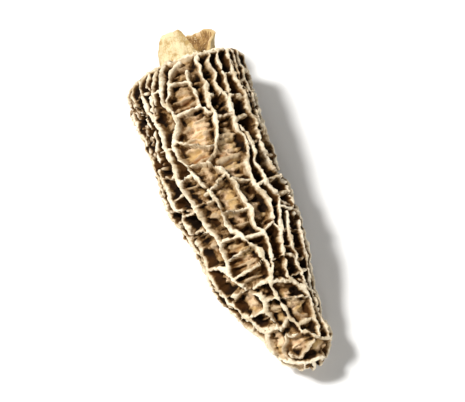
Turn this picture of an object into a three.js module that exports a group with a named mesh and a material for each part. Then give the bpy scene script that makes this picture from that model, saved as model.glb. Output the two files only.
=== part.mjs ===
// A dried black morel, torn off just below its cap and lying on its side.
// Millimetres, +Z up. The torn stem points to -X and the tip of the cap to +X.
//
// Cap and stem grew as one hollow body. Its wall opens at the torn stem and closes at the tip. The cap's
// outer face is a net of long ridges joined by short cross folds, with deep pits between them.
import * as THREE from 'three';

// How the body lies: tipped down towards the thinner end, its lowest crests pressed level under it.
const LAY_PITCH_DEG = 4.1;
const PRESSED = 0.9;

// The middle of the body: [along the axis, sideways, up]. The underside arches a little between its rests.
const MIDDLE = [
  [-5.6, 0.3, 0],
  [0.0, -0.2, 0],
  [2.4, -1.4, 0],
  [9.0, -1.5, 0.2],
  [14.0, -1.9, 0.55],
  [19.0, -2.6, 1.05],
  [23.0, -2.1, 1.15],
  [28.0, -1.6, 1.15],
  [33.0, -1.75, 0.8],
  [38.0, -1.4, 0.25],
  [42.0, -0.6, 0],
  [45.0, -0.05, 0],
  [49.2, 0.0, 0],
];
// The crests' surface from stem to tip: [along the axis, half width, height over width, depth of the pits]
const STEM = [
  [-5.6, 3.6, 0.95, 0],
  [-2.5, 3.9, 0.95, 0],
  [0.0, 4.2, 0.95, 0],
];
const CAP = [
  [0.0, 4.2, 0.95, 0],
  [0.0, 5.6, 0.93, 0.9],
  [0.1, 7.2, 0.9, 1.4],
  [0.9, 8.6, 0.88, 1.7],
  [2.6, 9.2, 0.87, 2.0],
  [5.2, 9.3, 0.87, 2.2],
  [12.0, 9.0, 0.87, 2.3],
  [20.0, 9.0, 0.87, 2.3],
  [24.0, 8.65, 0.87, 2.3],
  [28.0, 8.1, 0.88, 2.2],
  [33.0, 7.6, 0.9, 2.0],
  [36.7, 6.5, 0.92, 1.8],
  [40.2, 5.5, 0.93, 1.6],
  [42.3, 4.7, 0.94, 1.5],
  [44.6, 4.6, 0.95, 1.4],
  [46.2, 4.1, 0.95, 1.3],
  [47.6, 2.9, 0.95, 1.1],
  [48.8, 1.6, 0.95, 0.7],
  [49.2, 0.0, 0.95, 0.3],
];
// The smooth inner face of the wall: [along the axis, half width, height over width]
const HOLLOW = [
  [-5.6, 3.0, 0.95],
  [-2.5, 3.25, 0.95],
  [0.0, 3.45, 0.95],
  [1.4, 3.6, 0.94],
  [3.4, 5.0, 0.9],
  [6.5, 5.7, 0.87],
  [12.0, 5.6, 0.87],
  [20.0, 5.6, 0.87],
  [27.0, 5.2, 0.88],
  [33.0, 4.5, 0.9],
  [38.0, 3.5, 0.92],
  [42.0, 2.4, 0.94],
  [44.6, 1.3, 0.95],
  [45.4, 0.0, 0.95],
];
// The shoulder stands further forward on the +Y side; this slant fades out along the cap.
const SHOULDER_SLANT = 0.07;
const SLANT_ENDS = [2, 15];

// Where the long ridges run: degrees about the axis, from the top towards +Y, at five places on the cap.
const RIDGE_PLACES = [2, 12, 22, 32, 42];
const TOP_RIDGES = [
  [-100, -98, -96, -92, -88],
  [-84, -82, -79, -74, -66],
  [-69, -67, -61, -56, -47],
  [-54, -53, -39, -40, -27],
  [-35, -41, -17, -3, 0],
  [9, 0, 7, 7, 8],
  [30, 23, 26, 26, 23],
  [40, 36, 41, 30, 28],
  [56, 57, 71, 64, 42],
  [80, 82, 88, 84, 76],
];
const UNDER_RIDGES = 8;         // the underside's ridges, spread between the last and the first of these
const PAIRING = 0.3;            // how far neighbouring ridges close up in pairs towards the tip
const MEANDER_DEG = 1.6;        // sideways wander of a ridge

// Cross folds: the pits' length along the cap and how much of a pit's depth a fold leaves open.
const PIT_LENGTH = 3.4;
const PIT_LENGTH_CHANGE = 0.9;
const FOLD_DROP = 0.3;
const CREST_WAVE = 0.3;         // how far the crests dip
const OPEN_GAP = 1.5;           // a gap between ridges narrower than this holds no full pit

// The torn rim: how far it stands out from the shoulder, by degrees about the axis from the top.
const TORN_RIM = [
  [-180, 4.6],
  [-140, 3.9],
  [-100, 3.2],
  [-75, 3.4],
  [-55, 4.3],
  [-35, 5.2],
  [-20, 5.3],
  [-4, 5.0],
  [7, 4.3],
  [13, 1.6],
  [20, 0.6],
  [40, 0.45],
  [56, 0.7],
  [66, 2.2],
  [78, 3.2],
  [100, 4.6],
  [140, 5.2],
  [180, 4.6],
];
const RIM_RAGGED = 0.22;
const CURL = { at: 78, spread: 34, out: 1.5 };    // the side flap's edge curls outwards

// Mesh fineness
const STEM_ROWS = 3;
const CAP_ROWS = 46;
const HOLLOW_ROWS = 22;
const STEPS_PER_PIT = 4;        // mesh columns from one long ridge to the next
const PIT_SECTION = [0, 0.88, 1, 0.88];

const radians = THREE.MathUtils.degToRad;

// A smooth curve through rows of numbers, each starting with its place along the curve.
function through(rows) {
  const last = rows.length - 1;
  const slope = (from, to, column) => (to[column] - from[column]) / (to[0] - from[0]);
  return (place) => {
    let i = 0;
    while (i < last - 1 && place > rows[i + 1][0]) i += 1;
    const [a, b] = [rows[i], rows[i + 1]];
    const before = rows[Math.max(i - 1, 0)];
    const after = rows[Math.min(i + 2, last)];
    const span = b[0] - a[0];
    const f = THREE.MathUtils.clamp((place - a[0]) / span, 0, 1);
    const [f2, f3] = [f * f, f * f * f];
    return a.map((start, column) => {
      const leaving = slope(before, b, column) * span;
      const arriving = slope(a, after, column) * span;
      return (2 * f3 - 3 * f2 + 1) * start + (f3 - 2 * f2 + f) * leaving
        + (3 * f2 - 2 * f3) * b[column] + (f3 - f2) * arriving;
    });
  };
}

// Rows of a skin with the distance along the skin itself put in front.
function measured(rows) {
  let length = 0;
  return rows.map((row, i) => {
    if (i > 0) length += Math.hypot(row[0] - rows[i - 1][0], row[1] - rows[i - 1][1]);
    return [length, ...row];
  });
}

// Slow, smooth unevenness between -1 and 1, as grown things have.
function uneven(a, b, c) {
  const waves = 0.5 * Math.sin(a + 1.7 * c) + 0.3 * Math.sin(2.3 * a - 1.3 * b + c);
  return waves + 0.2 * Math.sin(3.1 * b + 2.9 * c);
}

// The long ridges: where ridge number `ridge` runs at a distance along the cap.
const ridgeLines = (() => {
  const lines = TOP_RIDGES.map((angles) => [...angles]);
  const [first, end] = [TOP_RIDGES[0], TOP_RIDGES[TOP_RIDGES.length - 1]];
  for (let n = 1; n <= UNDER_RIDGES; n += 1) {
    const share = n / (UNDER_RIDGES + 1);
    lines.push(RIDGE_PLACES.map((place, p) => {
      const gap = (first[p] + 360 - end[p]) / (UNDER_RIDGES + 1);
      const towards = n % 2 === 1 ? 1 : -1;
      const closing = PAIRING * gap * towards * THREE.MathUtils.smoothstep(place, 20, 42);
      return THREE.MathUtils.lerp(end[p], first[p] + 360, share) + closing + 0.12 * gap * uneven(place, n, 2);
    }));
  }
  return lines.map((angles) => through(RIDGE_PLACES.map((place, p) => [place, angles[p]])));
})();
const RIDGES = ridgeLines.length;

function ridgeAngle(ridge, along) {
  const lap = Math.floor(ridge / RIDGES) * 360;
  const k = ridge % RIDGES;
  const place = THREE.MathUtils.clamp(along, RIDGE_PLACES[0], RIDGE_PLACES[RIDGE_PLACES.length - 1]);
  return ridgeLines[k](place)[1] + lap + MEANDER_DEG * uneven(0.55 * along, 0.9 * k, 1);
}

// Where the cross folds of each row of pits lie along the cap.
const foldPlaces = Array.from({ length: RIDGES }, (_, k) => {
  const places = [];
  let place = 1.4 + PIT_LENGTH * (k % 2 ? 0.35 : 0.85);
  for (let n = 0; place < 52; n += 1) {
    places.push(place);
    place += PIT_LENGTH + PIT_LENGTH_CHANGE * uneven(2.4 * n, 1.9 * k, 3);
  }
  return places;
});

// A gentle dent or bulge of the whole body.
function swell(along, angle) {
  return 1 + 0.02 * Math.sin(2 * angle + 0.12 * along) + 0.015 * Math.sin(3 * angle - 0.2 * along + 2);
}

// How far the torn rim stands out from the cap.
const rimAt = through(TORN_RIM);
function rimReach(degrees) {
  const turned = ((degrees + 180) % 360 + 360) % 360 - 180;
  const ragged = 0.6 * Math.sin(7 * radians(turned) + 1) + 0.4 * Math.sin(16 * radians(turned) + 2.6);
  return rimAt(turned)[1] + RIM_RAGGED * ragged;
}

// Half width of the stem's wall where the torn flap curls away from the axis.
function curled(halfWidth, along, degrees) {
  const away = ((degrees - CURL.at + 180) % 360 + 360) % 360 - 180;
  const towardsRim = THREE.MathUtils.clamp(-along / 4, 0, 1.2) ** 1.5;
  return halfWidth + CURL.out * Math.exp(-((away / CURL.spread) ** 2)) * towardsRim;
}

// A point of the body: the place along it, half width, height over width, and the direction about the axis.
const middleAt = through(MIDDLE);
function onBody(along, halfWidth, heightShare, degrees) {
  const angle = radians(degrees);
  const r = halfWidth * swell(along, angle);
  const [, aside, up] = middleAt(along);
  const slant = SHOULDER_SLANT * (1 - THREE.MathUtils.smoothstep(along, ...SLANT_ENDS));
  const sideways = r * Math.sin(angle);
  const upwards = r * heightShare * Math.cos(angle);
  return new THREE.Vector3(along + slant * sideways, aside + sideways, up + upwards);
}

const stemAt = through(STEM);
const hollowAlong = through(HOLLOW);
const hollowRows = measured(HOLLOW);
const hollowAt = through(hollowRows);
const capRows = measured(CAP);
const capAt = through(capRows);
const capLength = capRows[capRows.length - 1][0];

// Outer face, row by row from the torn rim to the tip; the tip itself is one more point.
function outerRows() {
  const columns = RIDGES * STEPS_PER_PIT;
  const rows = [];
  const stretch = (column, along) => {
    const ridge = Math.floor(column / STEPS_PER_PIT);
    const share = (column % STEPS_PER_PIT) / STEPS_PER_PIT;
    return THREE.MathUtils.lerp(ridgeAngle(ridge, along), ridgeAngle(ridge + 1, along), share);
  };
  for (let row = 0; row < STEM_ROWS; row += 1) {
    rows.push(Array.from({ length: columns }, (_, column) => {
      const degrees = stretch(column, 0);
      const along = -rimReach(degrees) * (1 - row / STEM_ROWS);
      const [, halfWidth, heightShare] = stemAt(along);
      return onBody(along, curled(halfWidth, along, degrees), heightShare, degrees);
    }));
  }
  for (let row = 0; row < CAP_ROWS; row += 1) {
    const distance = capLength * (row / CAP_ROWS);
    const [, along, halfWidth, heightShare, depth] = capAt(distance);
    const [, aheadAlong, aheadWidth] = capAt(distance + 0.1);
    const [, behindAlong, behindWidth] = capAt(distance - 0.1);
    const run = Math.hypot(aheadAlong - behindAlong, aheadWidth - behindWidth);
    const inward = [(aheadWidth - behindWidth) / run, -(aheadAlong - behindAlong) / run];
    const spacing = capLength / CAP_ROWS;
    rows.push(Array.from({ length: columns }, (_, column) => {
      const ridge = Math.floor(column / STEPS_PER_PIT) % RIDGES;
      const degrees = stretch(column, along);
      const gap = radians(ridgeAngle(ridge + 1, along) - ridgeAngle(ridge, along)) * halfWidth;
      const onFold = foldPlaces[ridge].some((place) => Math.abs(place - distance) < spacing / 2);
      const pit = PIT_SECTION[column % STEPS_PER_PIT] * Math.min(1, gap / OPEN_GAP);
      const crest = 0.5 * CREST_WAVE * (1 + uneven(1.1 * distance, 2.7 * ridge, 5));
      const sunk = Math.max(depth * pit * (onFold ? FOLD_DROP : 1), Math.min(crest, depth));
      return onBody(along + inward[0] * sunk, halfWidth + inward[1] * sunk, heightShare, degrees);
    }));
  }
  return rows;
}

// Inner face, row by row from the torn rim to its own closed end.
function innerRows() {
  const columns = (RIDGES * STEPS_PER_PIT) / 2;
  const length = hollowRows[hollowRows.length - 1][0];
  return Array.from({ length: HOLLOW_ROWS }, (_, row) => Array.from({ length: columns }, (_, column) => {
    const outerColumn = 2 * column;
    const ridge = Math.floor(outerColumn / STEPS_PER_PIT);
    const share = (outerColumn % STEPS_PER_PIT) / STEPS_PER_PIT;
    const degrees = THREE.MathUtils.lerp(ridgeAngle(ridge, 0), ridgeAngle(ridge + 1, 0), share);
    const [, along, halfWidth, heightShare] = hollowAt(length * (row / HOLLOW_ROWS));
    if (along >= 0) return onBody(along, halfWidth, heightShare, degrees);
    const place = along * (rimReach(degrees) / -HOLLOW[0][0]);
    const [, stemWidth, stemShare] = hollowAlong(place);
    return onBody(place, curled(stemWidth, place, degrees), stemShare, degrees);
  }));
}

// One closed skin: outer rows to the tip, inner rows to the hollow's end, and the torn edge between them.
function closedSkin(outer, outerTip, inner, innerTip) {
  const points = [];
  const index = (rows) => rows.map((row) => row.map((point) => points.push(point) - 1));
  const [out, into] = [index(outer), index(inner)];
  const [outEnd, inEnd] = [points.push(outerTip) - 1, points.push(innerTip) - 1];
  const faces = [];
  const wall = (rows, end, outward) => {
    const add = (a, b, c) => faces.push(...(outward ? [a, b, c] : [a, c, b]));
    const n = rows[0].length;
    for (let column = 0; column < n; column += 1) {
      const next = (column + 1) % n;
      for (let row = 0; row < rows.length - 1; row += 1) {
        add(rows[row][column], rows[row + 1][column], rows[row + 1][next]);
        add(rows[row][column], rows[row + 1][next], rows[row][next]);
      }
      add(rows[rows.length - 1][column], end, rows[rows.length - 1][next]);
    }
  };
  wall(out, outEnd, true);
  wall(into, inEnd, false);
  for (let column = 0; column < into[0].length; column += 1) {
    const [a, b, c] = [out[0][2 * column], out[0][2 * column + 1], out[0][(2 * column + 2) % out[0].length]];
    const [p, q] = [into[0][column], into[0][(column + 1) % into[0].length]];
    faces.push(a, b, p, b, q, p, b, c, q);
  }
  const geometry = new THREE.BufferGeometry();
  const positions = new Float32Array(points.flatMap((v) => v.toArray()));
  geometry.setAttribute('position', new THREE.BufferAttribute(positions, 3));
  geometry.setIndex(faces);
  return geometry;
}

const [tipAlong] = CAP[CAP.length - 1];
const [hollowEnd] = HOLLOW[HOLLOW.length - 1];
const tip = onBody(tipAlong - CREST_WAVE, 0, 1, 0);
const skin = closedSkin(outerRows(), tip, innerRows(), onBody(hollowEnd, 0, 1, 0));

// Laid down: the pressed crests rest on z = 0 and the body is centred over the origin.
skin.rotateY(radians(LAY_PITCH_DEG));
skin.computeBoundingBox();
const box = skin.boundingBox;
skin.translate(-(box.min.x + box.max.x) / 2, -(box.min.y + box.max.y) / 2, -box.min.z - PRESSED);
const points = skin.getAttribute('position');
for (let i = 0; i < points.count; i += 1) points.setZ(i, Math.max(0, points.getZ(i)));
skin.computeVertexNormals();

const flesh = new THREE.MeshStandardMaterial({ color: 0x9a8262, roughness: 0.85, metalness: 0 });
const morel = new THREE.Mesh(skin, flesh);
morel.name = 'morel';

const part = new THREE.Group();
part.add(morel);
export default part;
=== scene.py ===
import math
import random

import bpy
import numpy as np
from mathutils import Matrix, Vector


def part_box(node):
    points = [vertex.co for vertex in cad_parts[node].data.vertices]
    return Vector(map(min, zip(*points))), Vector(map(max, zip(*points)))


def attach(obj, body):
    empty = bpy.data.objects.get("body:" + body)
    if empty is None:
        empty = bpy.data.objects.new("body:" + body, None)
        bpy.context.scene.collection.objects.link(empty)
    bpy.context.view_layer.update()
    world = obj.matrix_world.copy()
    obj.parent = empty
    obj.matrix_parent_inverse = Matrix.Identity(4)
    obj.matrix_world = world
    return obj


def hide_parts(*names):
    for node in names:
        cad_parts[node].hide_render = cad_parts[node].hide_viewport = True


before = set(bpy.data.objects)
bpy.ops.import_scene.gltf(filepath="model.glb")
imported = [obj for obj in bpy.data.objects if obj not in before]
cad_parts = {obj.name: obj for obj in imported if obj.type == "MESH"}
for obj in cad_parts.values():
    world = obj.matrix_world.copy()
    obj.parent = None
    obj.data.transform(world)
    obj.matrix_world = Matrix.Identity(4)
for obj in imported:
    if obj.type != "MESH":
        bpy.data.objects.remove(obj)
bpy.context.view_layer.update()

# ------------------------------------------------------------------------------------------------
# Morel, its wall: one thin hollow body that grew in one piece, dried hard, and was torn off just
# below the cap. Its skin is first made at the height of the crests, in millimetres, with the torn
# stem towards -X and the tip towards +X. The torn rim and the hollow's own face close it.

MM = 0.001                      # a millimetre, in the frame's metres

# The middle of the body: [along the axis, sideways, up]
MIDDLE = [
    [-5.6, 0.3, 0.0],
    [0.0, -0.2, 0.0],
    [2.4, -1.4, 0.0],
    [9.0, -1.5, 0.2],
    [14.0, -1.9, 0.55],
    [19.0, -2.6, 1.05],
    [23.0, -2.1, 1.15],
    [28.0, -1.6, 1.15],
    [33.0, -1.75, 0.8],
    [38.0, -1.4, 0.25],
    [42.0, -0.6, 0.0],
    [45.0, -0.05, 0.0],
    [49.2, 0.0, 0.0],
]
# The crests' surface: [along the axis, half width, height over width, depth of the pits]
STEM = [
    [-5.6, 3.6, 0.95, 0.0],
    [-2.5, 3.9, 0.95, 0.0],
    [0.0, 4.2, 0.95, 0.0],
]
CAP = [
    [0.0, 4.2, 0.95, 0.0],
    [0.0, 5.6, 0.93, 0.9],
    [0.1, 7.2, 0.9, 1.4],
    [0.9, 8.6, 0.88, 1.7],
    [2.6, 9.2, 0.87, 2.0],
    [5.2, 9.3, 0.87, 2.2],
    [12.0, 9.0, 0.87, 2.3],
    [20.0, 9.0, 0.87, 2.3],
    [24.0, 8.65, 0.87, 2.3],
    [28.0, 8.1, 0.88, 2.2],
    [33.0, 7.6, 0.9, 2.0],
    [36.7, 6.5, 0.92, 1.8],
    [40.2, 5.5, 0.93, 1.6],
    [42.3, 4.7, 0.94, 1.5],
    [44.6, 4.6, 0.95, 1.4],
    [46.2, 4.1, 0.95, 1.3],
    [47.6, 2.9, 0.95, 1.1],
    [48.8, 1.6, 0.95, 0.9],
    [49.2, 0.0, 0.95, 0.8],
]
# The inner face: [along the axis, half width, height over width]
HOLLOW = [
    [-5.6, 3.0, 0.95],
    [-2.5, 3.25, 0.95],
    [0.0, 3.45, 0.95],
    [1.4, 3.6, 0.94],
    [3.4, 5.0, 0.9],
    [6.5, 5.7, 0.87],
    [12.0, 5.6, 0.87],
    [20.0, 5.6, 0.87],
    [27.0, 5.2, 0.88],
    [33.0, 4.5, 0.9],
    [38.0, 3.5, 0.92],
    [42.0, 2.4, 0.94],
    [44.6, 1.3, 0.95],
    [45.4, 0.0, 0.95],
]
# How far the torn rim stands out from the shoulder: [degrees about the axis from the top, reach]
TORN_RIM = [
    [-180, 4.6],
    [-140, 3.9],
    [-100, 3.2],
    [-78, 3.6],
    [-62, 4.4],
    [-45, 4.6],
    [-25, 4.7],
    [-8, 4.5],
    [5, 3.6],
    [13, 1.6],
    [20, 0.6],
    [40, 0.45],
    [56, 0.7],
    [66, 2.2],
    [78, 3.2],
    [100, 4.6],
    [140, 5.2],
    [180, 4.6],
]
RIM_RAGGED = 0.22               # how far its small teeth reach
RIM_TEETH = [                   # [share, how many all round, start]
    [0.6, 7, 1.0],
    [0.4, 16, 2.6],
]
RIM_BULGE = 0.45                # how far its rounded edge stands out, as a share of the wall's thickness
SWELLS = [                      # slow lobes: [share of the width, how many, twist a millimetre, start]
    [0.02, 2, 0.12, 0.0],
    [0.015, 3, -0.2, 2.0],
]
SHOULDER_SLANT = 0.07           # the shoulder stands further forward on the +Y side
SLANT_FADES = (2.0, 15.0)       # less and less between these places along the axis
CURL = {                        # the side flap's edge curls outwards
    "at": 78,                   # degrees about the axis
    "spread": 34,
    "out": 1.5,                 # by so much, `over` millimetres out from the shoulder
    "over": 4,
    "power": 1.5,               # slowly at first
    "most": 1.2,                # and no more past this many times `over`
}
STEM_FADES = 1.2                # how far the stem's bare skin runs out over the shoulder
RIM_LOOK = 0.5                  # the torn edge looks half like the stem and half like the inner face

COLUMNS = 560                   # fineness of the skin: round it, and along each stretch of it
CAP_ROWS = 500
STEM_ROWS = 40
RIM_ROWS = 6
HOLLOW_ROWS = 60


def through(rows):
    """A smooth curve through rows of numbers that start with their place along the curve."""
    rows = np.array(rows, float)
    last = len(rows) - 1

    def at(place):
        place = np.clip(np.asarray(place, float), rows[0, 0], rows[-1, 0])
        i = np.clip(np.searchsorted(rows[:, 0], place, side="right") - 1, 0, last - 1)
        a, b = rows[i], rows[i + 1]
        before = rows[np.maximum(i - 1, 0)]
        after = rows[np.minimum(i + 2, last)]
        span = (b - a)[..., :1]
        f = (place[..., None] - a[..., :1]) / span
        leaving = (b - before) / (b - before)[..., :1] * span
        arriving = (after - a) / (after - a)[..., :1] * span
        ends = (2 * f**3 - 3 * f**2 + 1) * a + (3 * f**2 - 2 * f**3) * b
        return ends + (f**3 - 2 * f**2 + f) * leaving + (f**3 - f**2) * arriving

    return at


def measured(rows):
    """The same rows with the distance run along the first two columns put in front."""
    rows = np.array(rows, float)
    steps = np.hypot(np.diff(rows[:, 0]), np.diff(rows[:, 1]))
    return np.column_stack([np.concatenate([[0], np.cumsum(steps)]), rows])


def smooth(low, high, x):
    """0 up to `low`, 1 from `high` on, and an even slope between them."""
    f = np.clip((x - low) / (high - low), 0, 1)
    return f * f * (3 - 2 * f)


middle_at = through(MIDDLE)


def on_body(along, half_width, height_share, degrees):
    """Points of the body: place along it, half width, height over width, direction about the axis."""
    angle = np.radians(degrees)
    swell = 1
    for share, lobes, twist, start in SWELLS:
        swell = swell + share * np.sin(lobes * angle + twist * along + start)
    r = half_width * swell
    _, aside, up = np.moveaxis(middle_at(along), -1, 0)
    slant = SHOULDER_SLANT * r * np.sin(angle) * (1 - smooth(*SLANT_FADES, along))
    return np.stack([along + slant, aside + r * np.sin(angle), up + r * height_share * np.cos(angle)], -1)


rim_at = through(TORN_RIM)
stem_at = through(STEM)
cap_rows = measured(CAP)
cap_at = through(cap_rows)
cap_length = cap_rows[-1, 0]
hollow_rows = measured(HOLLOW)
hollow_at = through(hollow_rows)
hollow_length = hollow_rows[-1, 0]

around = np.arange(COLUMNS) * 360 / COLUMNS - 180
ragged = sum(share * np.sin(teeth * np.radians(around) + start) for share, teeth, start in RIM_TEETH)
reach = rim_at(around)[:, 1] + RIM_RAGGED * ragged


def curled(half_width, along, degrees):
    """The half width, with the curl of the side flap where there is any."""
    away = (degrees - CURL["at"] + 180) % 360 - 180
    beside = np.exp(-((away / CURL["spread"]) ** 2))
    outwards = np.clip(-along / CURL["over"], 0, CURL["most"]) ** CURL["power"]
    return half_width + CURL["out"] * beside * outwards


def wall_rows():
    """Every row of the closed skin: from the hollow's end, out over the torn rim, to the cap's tip.

    With each row go how deep its pits may sink, and how far it is bare stem or inner face.
    """
    rows, depths, stems, insides = [], [], [], []

    def add(along, half_width, share, depth=0, stem=0, inside=0):
        along = np.broadcast_to(along, around.shape)
        rows.append(on_body(along, curled(half_width, along, around), share, around))
        depths.append(np.full(COLUMNS, depth))
        stems.append(np.full(COLUMNS, stem))
        insides.append(np.full(COLUMNS, inside))

    for row in range(HOLLOW_ROWS - 1, -1, -1):
        _, along, half_width, share = hollow_at(hollow_length * row / HOLLOW_ROWS)
        if along < 0:
            along = reach * along / -HOLLOW[0][0]
            _, half_width, share = np.moveaxis(through(HOLLOW)(along), -1, 0)
        add(along, half_width, share, inside=1)
    _, outer, share, _ = np.moveaxis(stem_at(-reach), -1, 0)
    inner = half_width
    for row in range(1, RIM_ROWS):
        turn = math.pi * row / RIM_ROWS
        half_width = (outer + inner) / 2 - (outer - inner) / 2 * math.cos(turn)
        bulge = RIM_BULGE * (outer - inner) * math.sin(turn)
        add(-reach - bulge, half_width, share, stem=RIM_LOOK, inside=RIM_LOOK)
    for row in range(STEM_ROWS):
        along = -reach * (1 - row / STEM_ROWS)
        _, half_width, share, _ = np.moveaxis(stem_at(along), -1, 0)
        add(along, half_width, share, stem=1)
    for row in range(CAP_ROWS):
        distance = cap_length * row / CAP_ROWS
        _, along, half_width, share, depth = cap_at(distance)
        add(along, half_width, share, depth, stem=1 - smooth(0, STEM_FADES, distance))
    return np.array(rows), np.array(depths), np.array(stems), np.array(insides)


def new_mesh(name, points, edges=(), faces=(), **values):
    """A mesh object with one number for each point under every name in `values`."""
    mesh = bpy.data.meshes.new(name)
    mesh.from_pydata(points, edges, faces)
    for key, numbers in values.items():
        mesh.attributes.new(key, "FLOAT", "POINT").data.foreach_set("value", np.ravel(numbers))
    made = bpy.data.objects.new(name, mesh)
    bpy.context.scene.collection.objects.link(made)
    return made


rows, depth, stem, inside = wall_rows()
count = rows.shape[0] * COLUMNS
grid = np.arange(count).reshape(rows.shape[:2])
beside = np.roll(grid, -1, axis=1)
quads = np.stack([grid[:-1], grid[1:], beside[1:], beside[:-1]], -1).reshape(-1, 4)
hollow_end = on_body(np.float64(HOLLOW[-1][0]), 0.0, 1.0, 0.0)
tip = on_body(np.float64(CAP[-1][0]), 0.0, 1.0, 0.0)
end_faces = [(count, grid[0, c], beside[0, c]) for c in range(COLUMNS)]
end_faces += [(grid[-1, c], count + 1, beside[-1, c]) for c in range(COLUMNS)]
wall = new_mesh(
    "morel_wall",
    np.vstack([rows.reshape(-1, 3), hollow_end, tip]).tolist(),
    faces=[*quads.tolist(), *[tuple(map(int, face)) for face in end_faces]],
    depth=[*depth.ravel(), 0, CAP[-1][3]],
    stem=[*stem.ravel(), 0, 0],
    inside=[*inside.ravel(), 1, 0],
)

# ------------------------------------------------------------------------------------------------
# Morel, its net: long ridges run from the shoulder to the tip, and lower cross folds join them like
# rungs. Between them the skin has sunk into pits. Each is a line on the crests' surface, through
# places (millimetres along the axis, degrees about it from the top towards +Y), and has a height.

SHOULDER_RING = 3.9             # the rim round the shoulder: how far up the skin from the stem
SHOULDER_WAVE = (0.4, 0.09)     # how far it wavers, and how quickly with each degree
SHOULDER_STEP = 10              # degrees between its points
SHOULDER_TALL = 0.96            # heights are shares of a full crest
TIP_RING = [                    # the ring of crest about the last pit, beside the blunt tip
    (42.4, -31), (42.5, -66), (44.4, -83), (46.4, -77), (48.1, -22), (48.2, 40), (48.0, 94), (46.6, 86),
    (45.8, 28), (44.2, 5), (44.1, -18), (42.4, -31),
]
RIDGES_END = [                  # where the long ridges meet it: [degrees about the axis, along it]
    [-180, 48.3], [-120, 47.4], [-83, 44.4], [-66, 42.6], [-31, 42.5], [-18, 44.1], [5, 44.2], [28, 45.8],
    [86, 46.6], [110, 47.8], [180, 48.3],
]
RIDGES = {                      # the long ridges, in order about the axis
    "left_under": [(2, -104), (12, -100), (22, -98), (32, -93), (42, -88)],
    "left": [(2, -86), (12, -84), (18.8, -79), (23.7, -82), (30.1, -76), (36, -72), (42, -62)],
    "left_inner": [
        (2, -69), (6, -64), (9.1, -59), (12, -66), (15.2, -70), (19.7, -61), (24.8, -64), (30.5, -74),
    ],
    "slope": [
        (1, -56), (7.1, -54), (9.3, -51), (13.2, -51), (17.2, -45), (21.7, -40), (25.3, -40), (28, -39),
        (30.8, -39), (34, -42), (36.2, -33), (38.2, -24), (40.4, -32), (42.9, -34),
    ],
    "top_left": [
        (1, -27), (2.8, -27), (4.4, -33), (6.5, -33), (7.9, -31), (9.8, -28), (12.3, -41), (15.5, -34),
        (18.9, -24), (23.2, -18), (25.9, -21), (29, -13), (32.8, 1), (35.4, 1), (37.9, -3), (41, -2),
        (43.1, 1),
    ],
    "top": [
        (1, 8), (3.2, 11), (6.2, 9), (9, 5), (11.8, 6), (15.4, -1), (17, -9), (19.2, 1), (21.9, 7),
        (24.4, 9), (27.9, 3), (29.6, 10), (33.4, 10), (35.4, 1),
    ],
    "top_right": [
        (1, 32), (4.8, 33), (9.2, 25), (11.6, 26), (14.3, 29), (16.9, 32), (18.8, 28), (21.8, 25),
        (25.7, 30), (27.5, 27), (29.8, 32),
    ],
    "right_inner": [
        (13, 31), (17.6, 40), (20.9, 41), (23.1, 41), (25.5, 45), (29.2, 33), (33, 29), (36.4, 27),
        (38.8, 45), (41.5, 44), (45, 31),
    ],
    "right": [
        (1, 44), (4.4, 45), (8, 45), (11.7, 48), (16.5, 52), (19.9, 62), (23.3, 72), (26.2, 66), (31, 66),
        (36, 62), (41, 60),
    ],
    "right_cross": [(26.6, 52), (31, 46), (35.1, 44), (38.8, 45)],
    "right_under": [(2, 62), (8, 60), (12.7, 61), (14.2, 69), (17.2, 83), (24, 86), (32, 84), (42, 78)],
}
RIDGES_START = 0.3              # ridges that come near the foot of the cap start this far up the skin
NEAR_FOOT = 3                   # near is closer than this along the axis
FOOT_SHARE = 0.98               # there they are a little nearer to the top
NEAR_TIP = 40                   # ridges that pass this place are carried on to the ring
UNDER = {                       # ridges of the underside, spread between the last and the first of these
    "ridges": 8,
    "points": 14,               # places along each
    "fold_start": 1.2,          # where the folds between them start, along the axis
    "end": 46.5,                # and where these, and their own wavering, end
    "pairing": 0.3,             # how far they draw together two by two, as a share of the gap
    "pairing_from": (20, 42),
    "wander": [                 # [share of the gap, pace along it, change from one to the next, start]
        [0.16, 0.5, 1.3, 2],
        [0.12, 1.3, 2.1, 5],
    ],
}
EXTRA_TALL = 0.93
EXTRA_RIDGES = [                # short ridges between the long ones
    [(0.1, -43), (2.0, -46), (4.0, -45), (6.0, -49), (8.0, -54)],
    [(0.1, -35), (2.0, -36), (3.6, -41), (5.5, -43), (7.5, -52)],
    [(0.1, -78), (2.0, -77), (4.0, -73), (6.2, -66)],
    [(0.1, 20), (2.0, 21), (4.0, 24), (6.0, 20), (8.6, 24)],
    [(0.1, 52), (2.5, 54), (5.5, 51), (9.0, 56), (12.0, 60)],
    [(1.2, -10), (2.7, -18), (5.4, -27), (7.3, -33)],
    [(3, -1), (4.3, -3), (6.7, -2), (8.3, -4), (10, 2)],
    [(30.5, -74), (31.8, -50), (34, -41)],
    [(31.9, -95), (34, -75), (35.7, -63), (35.9, -41)],
    [(11.7, 48), (12.7, 61)],
    [(36.8, 38), (38.2, 50), (38.8, 72), (41.1, 78)],
    [(33.3, 32), (34.2, 52), (33.0, 66)],
]
FOLDS_TALL, FOLDS_SAG = (0.9, 1.0), 0.08        # how tall at the ends, and the share lost halfway
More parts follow.
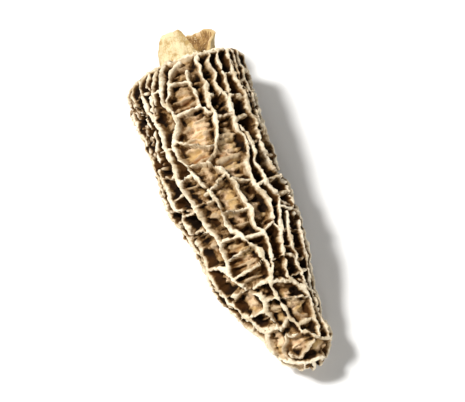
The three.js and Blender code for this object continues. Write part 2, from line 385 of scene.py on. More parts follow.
FOLDS = [                       # cross folds of the upper side
    [(3.7, -24), (4.1, -14), (4.5, -4)], [(7.6, -33), (8.7, -29), (8.8, -4)], [(12, -39), (14.8, -1)],
    [(15.8, -34), (17.2, -9)], [(21.3, -23), (19.6, 2)], [(24.8, -18), (25.1, 8)],
    [(29.2, -12), (29.6, 10)], [(7.1, 9), (7.6, 28)], [(10.7, 5), (11.1, 25)],
    [(29.3, 10), (28.2, 26)], [(20.4, 4), (21.6, 25)], [(16.5, 32), (15.7, 48), (14.3, 66)],
    [(25.6, 45), (26.2, 66)], [(17.9, -43), (17.8, -28)], [(22.4, -40), (22.6, -19)],
    [(28.3, -39), (28.6, -14)], [(31.6, -39), (30.6, -8)], [(34, -42), (33.2, 1)],
    [(36.2, -33), (35.7, 1)], [(38.4, -24), (38.8, -3)], [(43.1, -34), (41.7, -2)],
    [(21.4, -61), (22.9, -40)], [(26.2, -64), (26, -40)], [(36.5, -74), (35.9, -41)],
    [(39.3, -74), (39.7, -29)], [(41.2, -70), (42.3, -34)], [(3.5, -54), (4.3, -33)],
    [(12.4, -51), (12.8, -41)], [(38.9, 0), (39.4, 44)], [(43.2, 1), (42.6, 40)],
    [(33.6, 10), (33.2, 28)], [(36.3, 1), (36.7, 27)], [(22.5, 27), (22.3, 41)],
    [(26.4, 30), (26.2, 44)],
]
FRONT_TALL, FRONT_SAG = 0.94, 0.05
FRONT_FOLDS = [                 # short ridges over the blunt front of the tip
    [(48.1, -22), (48.8, -50), (48.6, -110), (47.6, -125)],
    [(48.2, 35), (48.9, 80), (48.7, 130), (48.2, 140)],
    [(48.2, 5), (49.1, 10), (49.1, 170), (48.3, 178)],
    [(48.1, 75), (48.7, 95), (48.0, 112)],
]
TIP_TALL, TIP_SAG = 0.85, 0.15
TIP_FOLDS = [                   # folds inside the last pit
    [(43.4, -26), (44.6, -38), (45.3, -52), (46.4, -58), (47.2, -50)],
    [(46.0, 18), (46.9, -8), (47.3, -30), (46.2, -46)],
]
LOW_TALL, LOW_SAG = (0.35, 0.5), 0.2
LOW_FOLDS = [                   # folds that stay low in the pits
    [(6.9, -31), (6.6, -4)], [(10.6, -30), (11.2, 0)], [(13.4, 6), (13.9, 28)], [(17.3, 0), (17.2, 30)],
    [(24.3, 10), (25.2, 28)], [(19.2, -40), (19.5, -25)], [(27, -19), (27.3, 4)],
]
LADDERS = [                     # neighbours joined by folds at uneven steps, from one place to another
    ("left_under", "left", 2.5, 43), ("left", "left_inner", 2, 30), ("left_inner", "slope", 2, 29),
    ("top_right", "right", 2.5, 13), ("right", "right_under", 2, 42), ("right_inner", "right", 19, 42),
    ("top_right", "right_inner", 30, 31),
]
WRINKLED = [                    # neighbours with low wrinkles between them, from one place to another
    ("left_inner", "slope", 2, 29), ("slope", "top_left", 1, 42), ("top_left", "top", 1, 33),
    ("top", "top_right", 1, 29), ("top_right", "right_inner", 14, 31), ("top_left", "right_inner", 34, 43),
]
# Such folds: their step along the skin and its change, how far their ends tilt and their middle bows,
# how tall they are, and the share they lose halfway
RUNG = {"step": 3.1, "change": 0.9, "tilt": 0.6, "bow": 0.4, "tall": (0.84, 1.0), "sag": (0, 0.16)}
WRINKLE = {"step": 1.5, "change": 0.75, "tilt": 0.5, "bow": 0.4, "tall": (0.15, 0.45), "sag": (0, 0.3)}
FIRST_STEP = (0.2, 0.9)         # the first one comes after this share of a step
CRUMBLED = {                    # a patch of the left flank where the net has crumbled into short pieces
    "along": (5.0, 17.0),
    "about": (-104, -62),
    "pieces": 70,
    "length": (0.7, 1.5),
    "degrees_a_mm": 6.4,        # there, about the axis
    "tall": (0.6, 0.95),
}
STRAND_STEP = 0.25              # spacing of points along a line of the net
MM_A_DEGREE = 0.13              # about the axis on the skin, for measuring a line's length
LOOKUPS = 3000                  # how finely distance along the skin is looked up from a place
LOOKUP_RISE = 1e-9              # the least rise between two places, so that none is met twice

cap_distances = np.linspace(0, cap_length, LOOKUPS)
cap_alongs = np.maximum.accumulate(cap_at(cap_distances)[:, 1]) + np.arange(LOOKUPS) * LOOKUP_RISE


def uneven(a, b, c):
    """Slow, smooth unevenness between -1 and 1, as grown things have."""
    waves = 0.5 * np.sin(a + 1.7 * c) + 0.3 * np.sin(2.3 * a - 1.3 * b + c)
    return waves + 0.2 * np.sin(3.1 * b + 2.9 * c)


def run_at(along):
    """Distance along the skin, from the foot of the cap, of a place along the axis."""
    return float(np.interp(along, cap_alongs, cap_distances))


def ridge_end(degrees):
    """Distance along the skin at which a long ridge ends, at so many degrees about the axis."""
    turned = (degrees + 180) % 360 - 180
    return run_at(np.interp(turned, *np.transpose(RIDGES_END)))


class Net:
    """Lines on the crests' surface, gathered into one mesh of edges."""

    def __init__(self):
        self.points, self.edges, self.tall = [], [], []

    def strand(self, runs, tall, sag=0.0):
        """One line through (distance along the skin, degrees); `sag` lowers it between its ends."""
        runs = np.array(runs, float)
        flat = measured(np.column_stack([runs[:, 0], runs[:, 1] * MM_A_DEGREE]))
        length = flat[-1, 0]
        steps = max(2, int(length / STRAND_STEP))
        _, run, turned = through(flat)(np.linspace(0, length, steps + 1)).T
        _, along, half_width, share, _ = cap_at(np.clip(run, 0, cap_length)).T
        start = len(self.points)
        self.points += on_body(along, half_width, share, turned / MM_A_DEGREE).tolist()
        self.tall += (tall * (1 - sag * np.sin(np.pi * np.linspace(0, 1, steps + 1)))).tolist()
        self.edges += [(start + i, start + i + 1) for i in range(steps)]

    def line(self, places, tall, sag=0.0):
        """One line through (millimetres along the axis, degrees)."""
        self.strand([(run_at(along), about) for along, about in places], tall, sag)


chance = random.Random(7)
ridge_net, fold_net = Net(), Net()

# The long ridges: those with places of their own, then those of the underside, between two of them.
full_ridges = {}
for name, places in RIDGES.items():
    line = [(run_at(along), about) for along, about in places]
    if places[0][0] < NEAR_FOOT:
        line.insert(0, (RIDGES_START, places[0][1] * FOOT_SHARE))
    if places[-1][0] > NEAR_TIP:
        line.append((ridge_end(line[-1][1]), line[-1][1]))
    full_ridges[name] = line
runs = np.linspace(RIDGES_START, run_at(UNDER["end"]), UNDER["points"])
low = through(full_ridges["right_under"])(runs)[:, 1]
high = through(full_ridges["left_under"])(runs)[:, 1] + 360
gaps = UNDER["ridges"] + 1
gap = (high - low) / gaps
for n in range(1, gaps):
    closing = UNDER["pairing"] * gap * (1 if n % 2 else -1) * smooth(*UNDER["pairing_from"], runs)
    wander = 0
    for share, pace, change, start in UNDER["wander"]:
        wander = wander + share * gap * uneven(runs * pace, n * change, start)
    about = low + (high - low) * n / gaps + closing + wander
    full_ridges[f"under_{n}"] = list(zip(runs, about)) + [(ridge_end(about[-1]), about[-1])]
for line in full_ridges.values():
    ridge_net.strand(line, 1.0)
for places in EXTRA_RIDGES:
    ridge_net.line(places, EXTRA_TALL)
ridge_net.line(TIP_RING, 1.0)
wave, pace = SHOULDER_WAVE
shoulder = [(SHOULDER_RING + wave * math.sin(b * pace), b) for b in range(-180, 181, SHOULDER_STEP)]
ridge_net.strand(shoulder, SHOULDER_TALL)


def rungs(ladder, size):
    """Folds across from one ridge to its neighbour, at uneven steps between two places.

    `lap` is 360 where the neighbour's degrees start again, on the left of the underside.
    """
    one, other, start, end, lap = ladder
    near, far = through(full_ridges[one]), through(full_ridges[other])
    run = run_at(start) + size["step"] * chance.uniform(*FIRST_STEP)
    while run < run_at(end):
        tilt = chance.uniform(-size["tilt"], size["tilt"])
        bow = chance.uniform(-size["bow"], size["bow"])
        first = (run - tilt, float(near(run - tilt)[1]))
        last = (run + tilt, float(far(run + tilt)[1]) + lap)
        middle = (run + bow, (first[1] + last[1]) / 2)
        fold_net.strand([first, middle, last], chance.uniform(*size["tall"]), chance.uniform(*size["sag"]))
        run += size["step"] + size["change"] * chance.uniform(-1, 1)


for places in FOLDS:
    fold_net.line(places, chance.uniform(*FOLDS_TALL), FOLDS_SAG)
for places in FRONT_FOLDS:
    fold_net.line(places, FRONT_TALL, FRONT_SAG)
for places in TIP_FOLDS:
    fold_net.line(places, TIP_TALL, TIP_SAG)
for places in LOW_FOLDS:
    fold_net.line(places, chance.uniform(*LOW_TALL), LOW_SAG)
below = ["right_under", *[f"under_{n}" for n in range(1, gaps)]]
ladders = [(*ladder, 0) for ladder in LADDERS]
ladders += [(one, other, UNDER["fold_start"], UNDER["end"], 0) for one, other in zip(below, below[1:])]
ladders += [(below[-1], "left_under", UNDER["fold_start"], UNDER["end"], 360)]
for ladder in ladders:
    rungs(ladder, RUNG)
for ladder in WRINKLED:
    rungs((*ladder, 0), WRINKLE)
for _ in range(CRUMBLED["pieces"]):
    run, about = run_at(chance.uniform(*CRUMBLED["along"])), chance.uniform(*CRUMBLED["about"])
    long, lean = chance.uniform(*CRUMBLED["length"]), chance.uniform(0, math.pi)
    ends = []
    for half in (-0.5, 0.5):
        aside = half * long * math.sin(lean) * CRUMBLED["degrees_a_mm"]
        ends.append((run + half * long * math.cos(lean), about + aside))
    fold_net.strand(ends, chance.uniform(*CRUMBLED["tall"]))
ridge_lines = new_mesh("ridge_lines", ridge_net.points, edges=ridge_net.edges, tall=ridge_net.tall)
fold_lines = new_mesh("fold_lines", fold_net.points, edges=fold_net.edges, tall=fold_net.tall)

# ------------------------------------------------------------------------------------------------
# Morel, its flesh: matt and dry, brittle like thin bark. The crests have bleached to cream, the pits
# are tan to ochre and, with painted shade, nearly black where walls crowd; the bare stem is straw
# coloured.

CREST_CREAM = (0.93, 0.81, 0.61)
CREST_DUSTY = (0.61, 0.48, 0.30)
WALL_TAN = (0.55, 0.41, 0.25)
FLOOR_TAN = (0.85, 0.62, 0.39)
FLOOR_OCHRE = (0.58, 0.39, 0.17)
FLOOR_RUSTY = (0.34, 0.16, 0.055)
# Painted shade where walls crowd, partly the flesh's own deeper brown: warm brown, then near black or deep
# brown
SHADE_WARM_BROWN = (0.24, 0.12, 0.035)
SHADE_NEAR_BLACK = (0.010, 0.004, 0.001)
SHADE_DEEP_BROWN = (0.050, 0.018, 0.003)
STEM_STRAW = (0.47, 0.31, 0.115)
STEM_PALE = (0.80, 0.66, 0.40)
INSIDE_GOLD = (0.42, 0.25, 0.09)
INSIDE_BROWN = (0.19, 0.095, 0.035)

NOISES = {                      # what mottles it: [waves a millimetre, detail, roughness]
    "grain": [5.0, 6.0, 0.7],
    "fine": [14.0, 4.0, 0.65],
    "patch": [0.22, 2.0, 0.5],
    "cell": [0.55, 1.0, 0.5],
    "blot": [1.4, 3.0, 0.55],
    "hue": [0.31, 1.0, 0.5],
}
STREAK = [3.2, 4.0, 0.65]       # this one runs down the pits' walls
NOISE_RUNS = (0.3, 0.7)         # nearly all of a noise lies between these

# Where the first of two colours gives way to the second: from this value to that one
OCHRE_TO_TAN = (0.4, 0.58)
FLOOR_TO_RUSTY = (0.54, 0.66)
FLOOR_TO_WALL = (0.2, 0.55)
WALL_TO_CREST = (0.7, 0.9)
CREAM_TO_DUSTY = (0.43, 0.6)
DARK_TO_BROWN = (0.44, 0.62)
CAP_TO_SHADE = (0.125, 0.26)
SHADE_TO_DEEP = (0.18, 0.3)
STRAW_TO_PALE = (0.4, 0.56)
BROWN_TO_GOLD = (0.38, 0.56)
INSIDE_TO_PALE = (0.55, 0.63)
CAP_TO_STEM = (0.25, 0.75)
OUTSIDE_TO_INSIDE = (0.5, 0.9)

CREST_WORN = 0.34               # how unevenly the crests are bleached
DUSTY_BY = {"patch": 0.35, "blot": 0.35, "grain": 0.3}          # shares of the noises in each
STRAW_BY = {"grain": 0.2, "streak": 0.2, "blot": 0.25, "cell": 0.35}
INSIDE_BY = {"streak": 0.5, "cell": 0.5}
INSIDE_PALE_BY = {"grain": 0.7, "patch": 0.3}
BUMP_BY = {"grain": 0.45, "fine": 0.25, "streak": 0.5}
SHADE_POWER = 0.6             # how quickly the painted shade of a sunken place darkens with the walls about it
SHADE_BY = {"blot": 0.2, "streak": 0.05, "cell": 0.22}        # how much of each makes that uneven
FLANKS, FLANKS_PAINTED_SHADE = (0.05, 0.9), 0.08       # painted shade: darker pits where it faces sideways
TIP_END, TIP_LESS_SHADE = (12.0, 20.0), 0.06         # and less painted shade in the pits this far towards the tip
SPECKLE = (0.84, 1.0)
ROUGHNESS = (0.78, 0.95)
GLOSS = 0.1
BUMP = {"Strength": 0.8, "Distance": 0.16 * MM}

AXIS = (0.0, -1.5, 7.5)         # where the axis runs in the finished piece, in millimetres
DRUM_RADIUS = 9.0               # the cap's half width
ALONG = (1.0, 0.0, 0.0)
ACROSS = (0.0, 1.0, 1.0)


class Flow:
    """A socket of a node tree. Arithmetic on it adds the Math nodes that do the same."""

    def __init__(self, tree, socket=None):
        self.tree = tree
        self.socket = socket

    def node(self, kind, settings=None, sockets=None, take=0):
        """Adds a node with its settings, then the values or links of its sockets; gives one output."""
        made = self.tree.nodes.new(kind)
        for name, value in (settings or {}).items():
            setattr(made, name, value)
        for name, value in (sockets or {}).items():
            if isinstance(value, Flow):
                self.tree.links.new(value.socket, made.inputs[name])
            else:
                made.inputs[name].default_value = value
        return Flow(self.tree, made.outputs[take])

    def other(self, output):
        """Another output of the same node."""
        return Flow(self.tree, self.socket.node.outputs[output])

    def math(self, operation, *values, clamp=False):
        settings = {"operation": operation, "use_clamp": clamp}
        return self.node("ShaderNodeMath", settings, dict(enumerate(values)))

    def vector(self, operation, *values):
        return self.node("ShaderNodeVectorMath", {"operation": operation}, dict(enumerate(values)))

    def scaled(self, amount):
        """This vector or colour, made larger or paler by one number."""
        return self.node("ShaderNodeVectorMath", {"operation": "SCALE"}, {0: self, "Scale": amount})

    def noise(self, scale, detail, rough=0.5, take=0):
        """Noise at these places."""
        sockets = {"Vector": self, "Scale": scale, "Detail": detail, "Roughness": rough}
        return self.node("ShaderNodeTexNoise", None, sockets, take)

    def swing(self, amount):
        """A noise, which runs from 0 to 1, made to run this far in all, evenly about nothing."""
        return (self - 0.5) * amount

    def ease(self, low, high, start=0.0, end=1.0):
        """Smoothly from `start` where this is at `low` to `end` where it is at `high`."""
        sockets = {"Value": self, "From Min": low, "From Max": high, "To Min": start, "To Max": end}
        return self.node("ShaderNodeMapRange", {"interpolation_type": "SMOOTHSTEP"}, sockets)

    def blend(self, one, two):
        """Colour `one` where this is 0 and colour `two` where it is 1."""
        colours = {6: one, 7: two}
        colours = {k: v if isinstance(v, Flow) else (*v, 1.0) for k, v in colours.items()}
        return self.node("ShaderNodeMix", {"data_type": "RGBA"}, {0: self, **colours}, 2)

    def __add__(self, other):
        return self.math("ADD", self, other)

    def __sub__(self, other):
        return self.math("SUBTRACT", self, other)

    def __mul__(self, other):
        return self.math("MULTIPLY", self, other)

    def __truediv__(self, other):
        return self.math("DIVIDE", self, other)

    def __pow__(self, other):
        return self.math("POWER", self, other)

    def __rsub__(self, other):
        return self.math("SUBTRACT", other, self)

    def __rtruediv__(self, other):
        return self.math("DIVIDE", other, self)

    def __rpow__(self, other):
        return self.math("POWER", other, self)

    __radd__ = __add__
    __rmul__ = __mul__


def dried_flesh():
    """The finish of the whole piece. The skin's own numbers say which part is which."""
    material = bpy.data.materials.new("dried_flesh")
    material.use_nodes = True
    tree = material.node_tree
    tree.nodes.clear()
    start = Flow(tree)
    mm = start.node("ShaderNodeTexCoord", take="Object").scaled(1 / MM)
    rise, crowd, stem, inside = (
        start.node("ShaderNodeAttribute", {"attribute_name": name}, take="Fac")
        for name in ("rise", "crowd", "stem", "inside")
    )

    # Places on a drum round the axis: what varies with them runs down the pits' walls as streaks.
    out = start.vector("NORMALIZE", start.vector("MULTIPLY", start.vector("SUBTRACT", mm, AXIS), ACROSS))
    drum = start.vector("MULTIPLY_ADD", out, (DRUM_RADIUS,) * 3, start.vector("MULTIPLY", mm, ALONG))
    noises = {name: mm.noise(*size) for name, size in NOISES.items()}
    noises["streak"] = drum.noise(*STREAK)

    def mixed(shares):
        """The named noises added up in these shares."""
        parts = [noises[name] * share for name, share in shares.items()]
        return sum(parts[1:], parts[0])

    floor = noises["cell"].ease(*OCHRE_TO_TAN).blend(FLOOR_OCHRE, FLOOR_TAN)
    floor = noises["hue"].ease(*FLOOR_TO_RUSTY).blend(floor, FLOOR_RUSTY)
    worn = rise + noises["grain"].swing(CREST_WORN)
    wall = worn.ease(*FLOOR_TO_WALL).blend(floor, WALL_TAN)
    crest = mixed(DUSTY_BY).ease(*CREAM_TO_DUSTY).blend(CREST_CREAM, CREST_DUSTY)
    cap = worn.ease(*WALL_TO_CREST).blend(wall, crest)

    # Where walls stand close, painted shade darkens the flesh to brown and then nearly black, partly its
    # own deeper brown.
    painted_shade = (1 - rise) ** SHADE_POWER * crowd
    for name, amount in SHADE_BY.items():
        painted_shade = painted_shade + noises[name].swing(amount)
    # More painted shade on the flanks that face sideways, and less towards the tip.
    ahead = start.node("ShaderNodeSeparateXYZ", None, {"Vector": mm}, "X")
    aside = start.node("ShaderNodeSeparateXYZ", None, {"Vector": out}, "Y")
    painted_shade = painted_shade + (aside * aside).ease(*FLANKS) * FLANKS_PAINTED_SHADE - ahead.ease(*TIP_END) * TIP_LESS_SHADE
    deep = noises["hue"].ease(*DARK_TO_BROWN).blend(SHADE_NEAR_BLACK, SHADE_DEEP_BROWN)
    cap = painted_shade.ease(*CAP_TO_SHADE).blend(cap, SHADE_WARM_BROWN)
    cap = painted_shade.ease(*SHADE_TO_DEEP).blend(cap, deep)

    straw = mixed(STRAW_BY).ease(*STRAW_TO_PALE).blend(STEM_STRAW, STEM_PALE)
    inner = mixed(INSIDE_BY).ease(*BROWN_TO_GOLD).blend(INSIDE_BROWN, INSIDE_GOLD)
    inner = mixed(INSIDE_PALE_BY).ease(*INSIDE_TO_PALE).blend(inner, STEM_PALE)
    colour = stem.ease(*CAP_TO_STEM).blend(cap, straw)
    colour = inside.ease(*OUTSIDE_TO_INSIDE).blend(colour, inner)
    colour = colour.scaled(noises["fine"].ease(*NOISE_RUNS, *SPECKLE))

    finish = start.node("ShaderNodeBsdfPrincipled", None, {
        "Base Color": colour,
        "Roughness": noises["grain"].ease(*NOISE_RUNS, *ROUGHNESS),
        "Specular IOR Level": GLOSS,
        "Normal": start.node("ShaderNodeBump", None, {**BUMP, "Height": mixed(BUMP_BY)}),
    })
    output = tree.nodes.new("ShaderNodeOutputMaterial")
    tree.links.new(finish.socket, output.inputs["Surface"])
    return material


flesh = dried_flesh()

# ------------------------------------------------------------------------------------------------
# Morel, drawn in: as it dried, the skin shrank into the gaps of the net and stayed up along its
# lines, in thin walls that lean and ripple. One rule does this to the whole wall. Then the piece is
# laid down in the frame, on its lowest crests, which the tray it dried on has pressed level.

CREST_HALF = 0.135              # half the thickness of a crest
WALL_FOOT = (0.14, 0.11)        # how wide a wall's slope is: least, and for each millimetre of depth
SLOPE_POWER = 1.15              # how hollow the slope is
WANDER = 1.0                    # how far the lines stray from their places, first in slow bends
CRINKLE = 0.5
FINE_CRINKLE = 0.85             # as a share of the crinkle
LEAN = 1.1                      # how far the walls lean, beside the deepest pits
DEEPEST = 2.3
RIPPLE = 0.34                   # how tall the wrinkles in the pits are, in shares of a crest
RIPPLE_SHARP = 7                # and how narrow
MEETING = 0.12                  # how softly the folds run into the ridges
CROWD_STEPS = 200               # how far each point looks round itself for standing walls
CROWD_POWER = 2.0               # how much more the tall ones count
TRIANGLES = 190_000             # of the finished piece

# The noises that make it uneven: [waves a millimetre, detail, roughness if it isn't a half]. A change is
# (from this noise, to that, the factor there, the factor here), and a stretch is by axis.
SLOW_BENDS = [0.2, 1.0]
CRINKLES = [0.9, 2.0]
FINE_CRINKLES = [2.2, 3.0]
FOOT_WIDTHS, FOOT_CHANGE = [0.35, 1.0], (0.35, 0.65, 0.7, 1.6)
CREST_WIDTHS, CREST_CHANGE = [0.7, 2.0], (0.3, 0.7, 0.4, 1.8)
LEANS = [0.45, 2.0]
RIPPLES, RIPPLE_STRETCH = [0.5, 1.2], (1.5, 0.45, 0.45)
FLOORS, FLOOR_MEAN, FLOOR_UNEVEN = [0.8, 3.0, 0.6], 0.52, 0.4
CREST_DIPS, CREST_DIP = [0.4, 3.0], 0.55
SMALL_DIPS, SMALL_DIP = [1.6, 2.0], 0.25
CREASES, CREASE_STRETCH, STEM_CREASE = [1.1, 4.0, 0.65], (0.3, 1.0, 1.0), 0.9
PUCKERS, PUCKER = [2.2, 3.0, 0.6], 0.24

LAY_PITCH_DEG = 4.1             # tipped down towards the thinner end
PRESSED = 0.9                   # how far its lowest crests are pressed level, in millimetres


def drawn_in_tree():
    """The rule, as a node tree: it sets how high the skin stays, then moves each point there."""
    tree = bpy.data.node_groups.new("Skin drawn into a net", "GeometryNodeTree")
    tree.interface.new_socket("Wall", in_out="INPUT", socket_type="NodeSocketGeometry")
    for name in ("Ridges", "Folds"):
        tree.interface.new_socket(name, in_out="INPUT", socket_type="NodeSocketObject")
    for name in ("Crest half", "Foot", "Foot per depth", "Crinkle", "Wander", "Lean", "Ripple"):
        tree.interface.new_socket(name, in_out="INPUT", socket_type="NodeSocketFloat")
    tree.interface.new_socket("Crowd steps", in_out="INPUT", socket_type="NodeSocketInt")
    tree.interface.new_socket("Flesh", in_out="INPUT", socket_type="NodeSocketMaterial")
    tree.interface.new_socket("Skin", in_out="OUTPUT", socket_type="NodeSocketGeometry")
    start = Flow(tree)
    given = start.node("NodeGroupInput", take="Wall")
    size = given.other

    def number(name):
        """A number that each point holds under this name."""
        return start.node("GeometryNodeInputNamedAttribute", {"data_type": "FLOAT"}, {"Name": name})

    def with_number(geometry, name, value):
        """The same skin, each point holding one more number."""
        settings = {"data_type": "FLOAT", "domain": "POINT"}
        sockets = {"Geometry": geometry, "Name": name, "Value": value}
        return start.node("GeometryNodeStoreNamedAttribute", settings, sockets)

    def shifted(places, noise, amount):
        """Each of these places moved by smooth noise, whose middle is a half."""
        swirl = start.vector("SUBTRACT", places.noise(*noise, take=1), (0.5, 0.5, 0.5))
        return start.vector("ADD", places, swirl.scaled(amount))

    where = start.node("GeometryNodeInputPosition")
    outward = start.node("GeometryNodeInputNormal")
    depth = number("depth")
    wandered = shifted(where, SLOW_BENDS, size("Wander"))
    wandered = shifted(wandered, CRINKLES, size("Crinkle"))
    wandered = shifted(wandered, FINE_CRINKLES, size("Crinkle") * FINE_CRINKLE)

    def rise_of(lines):
        """Height of the skin near one net: 1 on its crests, 0 in the pits."""
        settings = {"transform_space": "RELATIVE"}
        net = start.node("GeometryNodeObjectInfo", settings, {"Object": lines}, "Geometry")
        at = {"Geometry": net, "Sample Position": wandered}
        away = start.node("GeometryNodeProximity", {"target_element": "EDGES"}, at, "Distance")
        nearest = start.node("GeometryNodeSampleNearest", {"domain": "POINT"}, at)
        held = {"Geometry": net, "Value": number("tall"), "Index": nearest}
        tall = start.node("GeometryNodeSampleIndex", {"data_type": "FLOAT", "domain": "POINT"}, held)
        foot = size("Foot") + depth * size("Foot per depth")
        foot = foot * where.noise(*FOOT_WIDTHS).ease(*FOOT_CHANGE)
        edge = size("Crest half") * where.noise(*CREST_WIDTHS).ease(*CREST_CHANGE)
        share = ((away - edge) / foot).ease(0.0, 1.0)
        return tall * (1 - share) ** SLOPE_POWER

    # How high the skin stays at each point: along the lines, and in wrinkles across the pits.
    rise = start.math("SMOOTH_MAX", rise_of(size("Ridges")), rise_of(size("Folds")), MEETING)
    across = start.vector("MULTIPLY", where, RIPPLE_STRETCH)
    folded = 1 - start.math("ABSOLUTE", across.noise(*RIPPLES) - 0.5) * RIPPLE_SHARP
    ripple = start.math("MAXIMUM", folded, 0.0) * size("Ripple")
    ripple = ripple + (where.noise(*FLOORS) - FLOOR_MEAN) * FLOOR_UNEVEN
    rise = start.math("ADD", rise, ripple * (1 - rise), clamp=True)
    dip = (where.noise(*CREST_DIPS).swing(CREST_DIP) + where.noise(*SMALL_DIPS).swing(SMALL_DIP)) * rise
    skin = with_number(given, "rise", rise)
    walls = {"Value": number("rise") ** CROWD_POWER, "Iterations": size("Crowd steps")}
    crowd = start.node("GeometryNodeBlurAttribute", {"data_type": "FLOAT"}, walls)
    skin = with_number(skin, "crowd", crowd)

    # It sinks where it doesn't stay up, creases along the stem, and leans to one side or the other.
    kept = number("rise")
    creased = start.vector("MULTIPLY", where, CREASE_STRETCH).noise(*CREASES) - 0.5
    sunk = depth * (kept - 1 + dip) + where.noise(*PUCKERS).swing(PUCKER)
    sunk = sunk + creased * number("stem") * STEM_CREASE
    side = start.vector("NORMALIZE", start.vector("CROSS_PRODUCT", outward, ALONG))
    lean = where.noise(*LEANS).swing(2.0) * size("Lean") * kept * kept * depth / DEEPEST
    offset = start.vector("ADD", outward.scaled(sunk), side.scaled(lean))
    moved = start.node("GeometryNodeSetPosition", None, {"Geometry": skin, "Offset": offset})
    shaded = start.node("GeometryNodeSetShadeSmooth", None, {"Geometry": moved, "Shade Smooth": True})
    whole = start.node("GeometryNodeRealizeInstances", None, {"Geometry": shaded})
    dressed = start.node("GeometryNodeSetMaterial", None, {"Geometry": whole, "Material": size("Flesh")})
    end = tree.nodes.new("NodeGroupOutput")
    tree.links.new(dressed.socket, end.inputs["Skin"])
    return tree


def set_inputs(modifier, **values):
    """Gives a node modifier its inputs, found by their names with spaces for underscores."""
    for item in modifier.node_group.interface.items_tree:
        key = item.name.replace(" ", "_")
        if item.in_out == "INPUT" and key in values:
            modifier[item.identifier] = values[key]


drawn = wall.modifiers.new("drawn in", "NODES")
drawn.node_group = drawn_in_tree()
set_inputs(
    drawn,
    Ridges=ridge_lines,
    Folds=fold_lines,
    Crest_half=CREST_HALF,
    Foot=WALL_FOOT[0],
    Foot_per_depth=WALL_FOOT[1],
    Crinkle=CRINKLE,
    Wander=WANDER,
    Lean=LEAN,
    Ripple=RIPPLE,
    Crowd_steps=CROWD_STEPS,
    Flesh=flesh,
)
thinned = wall.modifiers.new("thinned", "DECIMATE")
thinned.ratio = TRIANGLES / (2 * len(quads) + len(end_faces))
result = bpy.data.meshes.new_from_object(wall.evaluated_get(bpy.context.evaluated_depsgraph_get()))
result.name = "morel"
morel = bpy.data.objects.new("morel_flesh", result)
bpy.context.scene.collection.objects.link(morel)
for spent in (wall, ridge_lines, fold_lines):
    bpy.data.objects.remove(spent)

low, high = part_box("morel")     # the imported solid, to be centred on
result.transform(Matrix.Rotation(math.radians(LAY_PITCH_DEG), 4, "Y"))
points = np.zeros(len(result.vertices) * 3, np.float32)
result.vertices.foreach_get("co", points)
points = points.reshape(-1, 3)
points[:, :2] -= (points.min(0) + points.max(0))[:2] / 2
points[:, 2] -= points[:, 2].min() + PRESSED
points[:, 2] = np.maximum(points[:, 2], 0)
points *= MM
points[:, 0] += (low.x + high.x) / 2
points[:, 1] += (low.y + high.y) / 2
result.vertices.foreach_set("co", points.ravel())
result.update()
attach(morel, "root")
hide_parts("morel")

# ------------------------------------------------------------------------------------------------
# The table under it: one plain pale sheet of paper, flat in the middle and curving up far away all
# round. Its sizes are in metres.

SHEET = {"flat": 1.0, "rise": 1.0, "turns": 128, "flat_rings": 4, "bent_rings": 24}
SHEET_PALE = (0.86, 0.855, 0.84)
SHEET_ROUGHNESS = 0.9


def pale_sheet():
    """Rings of points about the middle, joined by faces."""
    mesh = bpy.data.meshes.new("table_sheet")
    flat, rise, turns = SHEET["flat"], SHEET["rise"], SHEET["turns"]
    rings = [(flat * (i + 1) / SHEET["flat_rings"], 0.0) for i in range(SHEET["flat_rings"])]
    for i in range(1, SHEET["bent_rings"] + 1):
        bend = math.pi / 2 * i / SHEET["bent_rings"]
        rings.append((flat + rise * math.sin(bend), rise * (1 - math.cos(bend))))
    points, faces = [(0.0, 0.0, 0.0)], []
    for r, z in rings:
        for t in range(turns):
            angle = 2 * math.pi * t / turns
            points.append((r * math.cos(angle), r * math.sin(angle), z))
    for t in range(turns):
        faces.append((0, 1 + t, 1 + (t + 1) % turns))
        for ring in range(len(rings) - 1):
            a, b = 1 + ring * turns + t, 1 + ring * turns + (t + 1) % turns
            faces.append((a, a + turns, b + turns, b))
    mesh.from_pydata(points, [], faces)
    mesh.polygons.foreach_set("use_smooth", [True] * len(faces))
    made = bpy.data.objects.new("table_sheet", mesh)
    bpy.context.scene.collection.objects.link(made)
    return made


sheet = pale_sheet()
paper = bpy.data.materials.new("pale_paper")
paper.use_nodes = True
paper_finish = paper.node_tree.nodes["Principled BSDF"]
paper_finish.inputs["Base Color"].default_value = (*SHEET_PALE, 1)
paper_finish.inputs["Roughness"].default_value = SHEET_ROUGHNESS
sheet.data.materials.append(paper)

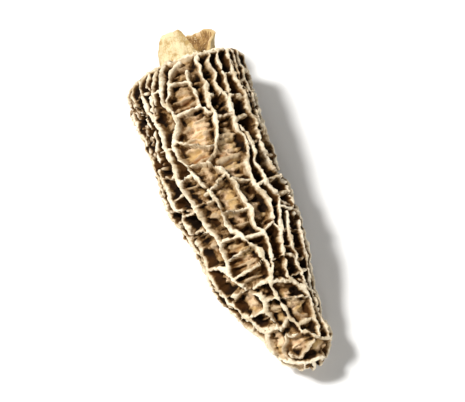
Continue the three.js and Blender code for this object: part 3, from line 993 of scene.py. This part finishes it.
# ------------------------------------------------------------------------------------------------
# What lights it and looks at it: a large lamp far away on one side, a weaker and larger one on the
# other, a little white light from all round, and a camera with a long lens that looks steeply down.

KEY_LAMP = {"azimuth": 325, "elevation": 56, "spread": 13.0, "strength": 4.5}
FILL_LAMP = {"azimuth": 80, "elevation": 45, "spread": 23.0, "strength": 0.6}
ALL_ROUND_WHITE = (1, 1, 1, 1)
ALL_ROUND_STRENGTH = 0.10
VIEW_AZIMUTH, VIEW_ELEVATION = 68.5, 70.0
VIEW_DISTANCE = 0.45
VIEW_LENS = 240.0
VIEW_AIM = (0.0, 0.0, 0.007)
VIEW_CLIP = (0.01, 10)


def direction(azimuth, elevation):
    """Towards a place so many degrees round from -Y and above the floor."""
    a, e = math.radians(azimuth), math.radians(elevation)
    return Vector((math.sin(a) * math.cos(e), -math.cos(a) * math.cos(e), math.sin(e)))


def soft_lamp(name, azimuth, elevation, spread, strength):
    """Even light from one side, as from a large lamp far away that looks `spread` degrees wide."""
    light = bpy.data.lights.new(name, "SUN")
    light.angle = math.radians(spread)
    light.energy = strength
    lamp = bpy.data.objects.new(name, light)
    back = direction(azimuth, elevation)
    lamp.location = back
    lamp.rotation_euler = (-back).to_track_quat("-Z", "Y").to_euler()
    bpy.context.scene.collection.objects.link(lamp)


soft_lamp("key", **KEY_LAMP)
soft_lamp("fill", **FILL_LAMP)
world = bpy.data.worlds.new("studio")
bpy.context.scene.world = world
world.use_nodes = True
world.node_tree.nodes["Background"].inputs["Color"].default_value = ALL_ROUND_WHITE
world.node_tree.nodes["Background"].inputs["Strength"].default_value = ALL_ROUND_STRENGTH

camera = bpy.data.objects.new("camera", bpy.data.cameras.new("camera"))
camera.data.lens = VIEW_LENS
camera.data.clip_start, camera.data.clip_end = VIEW_CLIP
view = direction(VIEW_AZIMUTH, VIEW_ELEVATION)
camera.location = Vector(VIEW_AIM) + view * VIEW_DISTANCE
camera.rotation_euler = (-view).to_track_quat("-Z", "Y").to_euler()
bpy.context.scene.collection.objects.link(camera)
bpy.context.scene.camera = camera
bpy.context.scene.view_settings.view_transform = "Standard"
